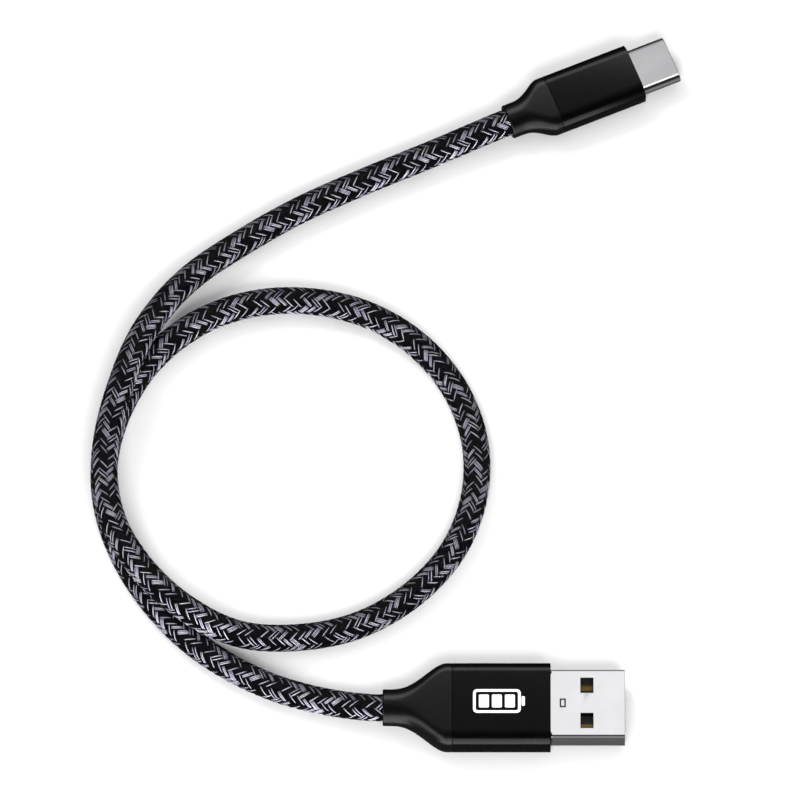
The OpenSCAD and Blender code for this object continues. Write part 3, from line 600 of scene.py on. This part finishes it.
def yarns_of(hand, letter):
    """Carrier and place of every yarn of one colour: the left carriers mirror the right ones."""
    found = []
    count = len(CARRIER_YARNS)
    for carrier in range(count):
        own = carrier if hand > 0 else (LEFT_SHIFT - carrier) % count
        for number, colour in enumerate(CARRIER_YARNS[own]):
            place = (number - (YARNS_EACH - 1) / 2) * (1 if hand > 0 else -1)
            if colour == letter:
                found.append((carrier, place))
    return found


def yarn_points(yarns):
    mesh = bpy.data.meshes.new("yarn_points")
    mesh.from_pydata([(0, 0, 0)] * len(yarns), [], [])
    for number, name in enumerate(("carrier", "place")):
        attribute = mesh.attributes.new(name, "FLOAT", "POINT")
        attribute.data.foreach_set("value", [float(yarn[number]) for yarn in yarns])
    return link_object("yarn_points", mesh)


def build_braid(line):
    route = route_curve(line)
    tree = yarn_tree()
    pieces = []
    for word, hand in HANDS.items():
        light = yarns_of(hand, "l")
        dark = yarns_of(hand, "d")
        half = len(dark) // 2
        for name, yarns, width, material in (
                (f"yarns_light_{word}", light, BRAID["light_w"], YARN_LIGHT),
                (f"yarns_dark_{word}_1", dark[:half], BRAID["dark_w"], YARN_DARK),
                (f"yarns_dark_{word}_2", dark[half:], BRAID["dark_w"], YARN_DARK)):
            piece = grown(
                name, yarn_points(yarns), tree, Route=route, Carriers=len(CARRIER_YARNS),
                Pitch=BRAID["pitch"] * MM, Middle_radius=BRAID["middle_r"] * MM,
                Lift=BRAID["lift"] * MM, Yarn_spacing=BRAID["spacing"] * MM,
                Yarn_width=width * MM, Yarn_thickness=BRAID["thick"] * MM, Hand=hand,
                Turn=math.radians(BRAID["turn"]), Roll=math.radians(BRAID["roll"]),
                Sides=BRAID["sides"], Material=material)
            pieces.append(add_piece(piece, ["cable_braid"]))
    bpy.data.objects.remove(route)
    return pieces


def wire_end(frame_of, plug, node, number):
    """The two points at one end of a wire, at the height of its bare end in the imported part."""
    low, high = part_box(node)
    z = (low.z + high.z) / 2 / MM - plug["h"] / 2
    return [frame_of @ Vector((x, plug["wire_y"][number], z)) for x in plug["wire_x"]]


def wire_line(number, host_x, device_x):
    """A wire's line: beside the cable's axis, and to its own solder joint at each end."""
    axis = layer_line(host_x, device_x, 1.0)
    tangent = np.gradient(axis, axis=0)
    side = np.cross(tangent, (0, 0, 1))
    side /= np.linalg.norm(side, axis=1)[:, None]
    up = np.cross(side, tangent)
    up /= np.linalg.norm(up, axis=1)[:, None]
    angle = math.radians(WIRE_ANGLE[number])
    bundle = axis + CABLE["bundle_r"] * MM * (math.cos(angle) * side + math.sin(angle) * up)
    start = wire_end(HOST_FRAME, HOST, "host_wire_ends", number)
    end = wire_end(DEVICE_FRAME, DEVICE, "device_wire_ends", number)
    # One point in six is enough between the plugs
    return smooth_line([*start, *bundle[:-4:6], bundle[-1], *end], LAYER_STEP * MM)


# Steps along the yarns and along the layers under them, and how far the foil stops inside the jacket
YARN_STEP = 0.3
LAYER_STEP = 0.8
FOIL_SHORT = 0.3


def build_cable():
    braid = build_braid(layer_line(-HOST["length"] / 2 - HOST["braid_in"],
                                   -DEVICE["length"] / 2 - DEVICE["braid_in"], YARN_STEP))
    tree = layer_tree()
    host_end = -HOST["length"] / 2 + HOST["jacket_in"]
    device_end = -DEVICE["length"] / 2 + DEVICE["jacket_in"]

    def layer(name, line, radius, wall, sides, slot, node):
        piece = grown(name, line_object(name + "_line", line), tree, Radius=radius * MM,
                      Wall=wall * MM, Sides=sides, Material=FINISHES[slot])
        return add_piece(piece, [node])

    jacket_line = layer_line(host_end, device_end, LAYER_STEP)
    jacket = layer("jacket", jacket_line, CABLE["jacket_r"],
                   CABLE["jacket_r"] - CABLE["jacket_bore"], 20, "jacket_black", "cable_jacket")
    foil_line = layer_line(host_end - FOIL_SHORT, device_end - FOIL_SHORT, LAYER_STEP)
    foil = layer("foil", foil_line, CABLE["foil_r"], CABLE["foil_r"] - CABLE["foil_bore"], 16,
                 "foil", "cable_foil")
    for number, (slot, node) in enumerate((
            ("wire_red", "wire_power"), ("wire_white", "wire_data_minus"),
            ("wire_green", "wire_data_plus"), ("wire_black", "wire_ground"))):
        layer(node + "_run", wire_line(number, host_end, device_end),
                           CABLE["wire_r"], CABLE["wire_r"], 10, slot, node)


# ---- Plugs ----

# Mesh details: the least corner radius, what counts as one point, and the least angle of a sharp edge
LEAST_RADIUS = 0.01
SAME_POINT = 1e-5
SHARP_ANGLE = math.radians(35)
BEVEL_ANGLE = math.radians(50)


def outline(w, h, r, steps):
    """Points round a rounded rectangle, across and above a plug's axis."""
    found = []
    for quarter in range(4):
        across = (1 if quarter in (0, 3) else -1) * (w / 2 - r)
        above = (1 if quarter < 2 else -1) * (h / 2 - r)
        for k in range(steps + 1):
            angle = math.radians(90 * quarter + 90 * k / steps)
            found.append((across + r * math.cos(angle), above + r * math.sin(angle)))
    return found


def mesh_of(build, name):
    """The finished mesh of faces that were built one by one."""
    bmesh.ops.remove_doubles(build, verts=build.verts, dist=SAME_POINT)
    bmesh.ops.recalc_face_normals(build, faces=build.faces)
    mesh = bpy.data.meshes.new(name)
    build.to_mesh(mesh)
    build.free()
    return mesh


def loft(sections, steps=10):
    """A closed ring of a mesh through (x, w, h, r) sections: the last joins the first."""
    build = bmesh.new()
    rings = []
    for x, w, h, r in sections:
        points = outline(w, h, max(r, LEAST_RADIUS), steps)
        rings.append([build.verts.new((x, y, z)) for y, z in points])
    for one, other in zip(rings, rings[1:] + rings[:1]):
        for k in range(len(one)):
            m = (k + 1) % len(one)
            build.faces.new((one[k], one[m], other[m], other[k]))
    return mesh_of(build, "loft")


def softened(corners, radius, steps=4):
    """A closed polygon of (x, inset) corners with its corners rounded off."""
    found = []
    count = len(corners)
    for i in range(count):
        before, here, after = (Vector(corners[(i + k) % count]) for k in (-1, 0, 1))
        to_before, to_after = (before - here).normalized(), (after - here).normalized()
        centre = here + (to_before + to_after) * radius
        for k in range(steps + 1):
            angle = math.radians(90 * k / steps)
            found.append(tuple(centre - to_after * radius * math.cos(angle)
                               - to_before * radius * math.sin(angle)))
    return found


def sleeve_mesh(plug):
    """A rounded rectangular tube whose four rims are softened."""
    w, h, r, wall, half = plug["w"], plug["h"], plug["edge"], plug["wall"], plug["length"] / 2
    corners = softened([(-half, 0), (half, 0), (half, wall), (-half, wall)], plug["rim"])
    return loft([(x, w - 2 * inset, h - 2 * inset, r - inset) for x, inset in corners])


def smooth_step(t):
    t = min(max(t, 0), 1)
    return t * t * (3 - 2 * t)


def boot_mesh(plug):
    """A moulded boot: a straight neck, an S-curve out to the sleeve, and a spigot inside it."""
    back, neck, d = -plug["length"] / 2, neck_of(plug), plug["neck"]
    soft, rim_steps = 0.25, 5
    sections = []
    for k in range(rim_steps + 1):
        angle = math.radians(90 * k / rim_steps)
        inset = soft * (1 - math.sin(angle))
        sections.append((neck + soft * (1 - math.cos(angle)), d - 2 * inset, d - 2 * inset,
                         d / 2 - inset))
    rings, least_gap, bend = 44, 0.02, 1.3
    for i in range(1, rings + 1):
        share = i / rings
        x = neck + (back - neck) * share
        if x < neck + soft + least_gap:
            continue
        t = smooth_step(max((share - plug["straight"]) / plug["swell"], 0) ** bend)
        sections.append((x, d + (plug["w"] - d) * t, d + (plug["h"] - d) * t,
                         d / 2 + (plug["edge"] - d / 2) * t))
    # A fine groove where it meets the sleeve, then the spigot and the bore
    seam, seam_start, seam_bend = 0.07, 0.12, 0.04
    x, w, h, r = sections.pop()
    sections += [(x - seam_start, w, h, r), (x - seam_bend, w - 0.5 * seam, h - 0.5 * seam, r),
                 (x, w - 2 * seam, h - 2 * seam, r - seam)]
    inset = plug["wall"] + FIT
    inner = (w - 2 * inset, h - 2 * inset, r - plug["wall"])
    front = back + plug["spigot"] - FIT
    collar, bore = CABLE["collar_r"] + FIT, CABLE["r"] + FIT
    stop, chamfer = back - plug["braid_in"], 0.1
    sections += [(back, *inner), (front, *inner), (front, 2 * collar, 2 * collar, collar),
                 (stop, 2 * collar, 2 * collar, collar), (stop, 2 * bore, 2 * bore, bore),
                 (neck + chamfer, 2 * bore, 2 * bore, bore),
                 (neck, 2 * bore + 2 * chamfer, 2 * bore + 2 * chamfer, bore + chamfer)]
    return loft(sections)


def box_mesh(low, high):
    build = bmesh.new()
    bmesh.ops.create_cube(build, size=1)
    middle = [(a + b) / 2 for a, b in zip(low, high)]
    size = [b - a for a, b in zip(low, high)]
    build.transform(Matrix.Translation(middle) @ Matrix.Diagonal((*size, 1)))
    mesh = bpy.data.meshes.new("box")
    build.to_mesh(mesh)
    build.free()
    return mesh


def cut(mesh, cutters, bevel):
    """The mesh with the cutters' shapes taken out of it and its sharp edges softened."""
    base = link_object("base", mesh)
    tools = [link_object("cutter", cutter) for cutter in cutters]
    for tool in tools:
        modifier = base.modifiers.new("cut", "BOOLEAN")
        modifier.operation, modifier.solver, modifier.object = "DIFFERENCE", "EXACT", tool
    if bevel:
        modifier = base.modifiers.new("soften", "BEVEL")
        modifier.width, modifier.segments = bevel, 2
        modifier.limit_method, modifier.angle_limit = "ANGLE", BEVEL_ANGLE
    view = bpy.context.evaluated_depsgraph_get()
    made = bpy.data.meshes.new_from_object(base.evaluated_get(view))
    for tool in tools:
        bpy.data.objects.remove(tool)
    bpy.data.objects.remove(base)
    return made


def put(name, mesh, matrix, slot, replaced, material=None):
    """Places a mesh that was made in a plug's own millimetres, and adds it as a piece."""
    mesh.transform(matrix)
    mesh.name = name
    mesh.polygons.foreach_set("use_smooth", [True] * len(mesh.polygons))
    mesh.set_sharp_from_angle(angle=SHARP_ANGLE)
    piece = link_object(name, mesh)
    mesh.materials.clear()
    mesh.materials.append(material or FINISHES[slot])
    return add_piece(piece, replaced)


def mouth_of(plug):
    return plug["length"] / 2 + plug["shell_out"]


def shell_mesh(shell, mouth):
    """A pressed or drawn shell: a thin tube whose mouth is rolled in by a small lead."""
    w, h, r, sheet, lead = (shell[key] for key in ("w", "h", "edge", "sheet", "lead"))
    back, thinned = mouth - shell["length"], 0.4
    outer = [(back, 0), (mouth - lead, 0), (mouth, lead)]
    inner = [(mouth, sheet + lead * thinned), (mouth - lead, sheet), (back, sheet)]
    return loft([(x, w - 2 * d, h - 2 * d, r - d) for x, d in outer + inner])


def build_body(word, plug, matrix):
    """A plug's metal sleeve and its moulded boot."""
    put(word + "_sleeve_metal", sleeve_mesh(plug), matrix, "sleeve_black", [word + "_sleeve"])
    put(word + "_boot_moulded", boot_mesh(plug), matrix, "boot_black", [word + "_boot"])


def block(x, y, length, w, low, high):
    """A box about a place along and across the plug, from low to high above its axis."""
    return box_mesh((x - length / 2, y - w / 2, low), (x + length / 2, y + w / 2, high))


def stamp_frame(x, low, high):
    """The stamped rectangle's outline, as a solid."""
    inside = 2 * STAMP["line"]
    core = block(x, 0, STAMP["length"] - inside, STAMP["w"] - inside, 0, HOST_SHELL["h"])
    return cut(block(x, 0, STAMP["length"], STAMP["w"], low, high), [core], 0)


def build_host_plug():
    build_body("host", HOST, HOST_FRAME)
    mouth, h = mouth_of(HOST), HOST_SHELL["h"]
    cutters = [block(mouth - WINDOW["back"], side * WINDOW["pitch"] / 2, WINDOW["length"],
                     WINDOW["w"], -h, h) for side in (-1, 1)]
    middle, past = mouth - HOST_SHELL["length"] / 2, 1
    cutters.append(block(middle, 0, HOST_SHELL["length"] + 2 * past, HOST_SHELL["seam"], -h, 0))
    x, top, depth = mouth - STAMP["back"], h / 2, STAMP["depth"]
    cutters.append(stamp_frame(x, top - depth, top + depth))
    shell = cut(shell_mesh(HOST_SHELL, mouth), cutters, HOST_SHELL["bevel"])
    put("host_shell_steel", shell, HOST_FRAME, "plug_steel", ["host_shell"])
    # A black piece that fills the stamped groove almost to the top: painted shade in the groove
    put("host_stamp_fill", stamp_frame(x, top - depth, top - STAMP["unfilled"]), HOST_FRAME,
        "insulator_black", [], STAMP_PAINTED_SHADE)
    build_mark()


def plate(w, h, r, at, top, thick):
    """A thin printed patch, w along the plug and h across it."""
    build = bmesh.new()
    corner_steps = 5
    points = [(at[0] + x, at[1] + y) for x, y in outline(w, h, r, corner_steps)]
    low = [build.verts.new((x, y, top - thick)) for x, y in points]
    high = [build.verts.new((x, y, top)) for x, y in points]
    build.faces.new(low)
    build.faces.new(high)
    for k in range(len(points)):
        m = (k + 1) % len(points)
        build.faces.new((low[k], low[m], high[m], high[k]))
    return mesh_of(build, "plate")


def build_mark():
    """A plain battery sign printed on the host plug: a case, its terminal and three bars."""
    (x, y), thick, top = MARK["at"], MARK["thick"], HOST["h"] / 2 + MARK["proud"]
    hollow = plate(*MARK["inside"], (x, y), top + 1, 2)
    parts = [cut(plate(*MARK["case"], (x, y), top, thick), [hollow], 0),
             plate(*MARK["terminal"], (MARK["terminal_x"], y), top, thick)]
    for k in (-1, 0, 1):
        parts.append(plate(*MARK["bar"], (x + MARK["bar_pitch"] * k, y), top, thick))
    build = bmesh.new()
    for mesh in parts:
        build.from_mesh(mesh)
    joined = bpy.data.meshes.new("mark")
    build.to_mesh(joined)
    build.free()
    put("host_mark", joined, HOST_FRAME, "mould_white", [], PRINT_WHITE)


def build_device_plug():
    build_body("device", DEVICE, DEVICE_FRAME)
    put("device_shell_steel", shell_mesh(DEVICE_SHELL, mouth_of(DEVICE)), DEVICE_FRAME,
        "plug_steel", ["device_shell"], STEEL_WITH_PAINTED_SHADE)


def dress_cad_nodes():
    """Each CAD node that still shows gets its slot's finish."""
    slots = {part["node"]: part["material_slot"] for part in frame["record"]["subparts"]}
    for name, node in frame["nodes"].items():
        if node.hide_render:
            continue
        node.data.materials.clear()
        node.data.materials.append(FINISHES[slots[name]])


def build_floor():
    build = bmesh.new()
    half_size, below = 3, 0.00003
    bmesh.ops.create_grid(build, x_segments=1, y_segments=1, size=half_size)
    build.transform(Matrix.Translation((0, 0, -below)))
    mesh = bpy.data.meshes.new("floor")
    build.to_mesh(mesh)
    build.free()
    floor = link_object("floor", mesh)
    mesh.materials.append(finish("white_table", (0.92, 0.92, 0.92), 0.6, 0.0, 0.004,
                                 (600, 0.000001), 0.02))
    floor.visible_glossy = False


aim_camera()
build_world()
build_softboxes()
build_cable()
build_host_plug()
build_device_plug()
dress_cad_nodes()
build_floor()
link_softboxes()
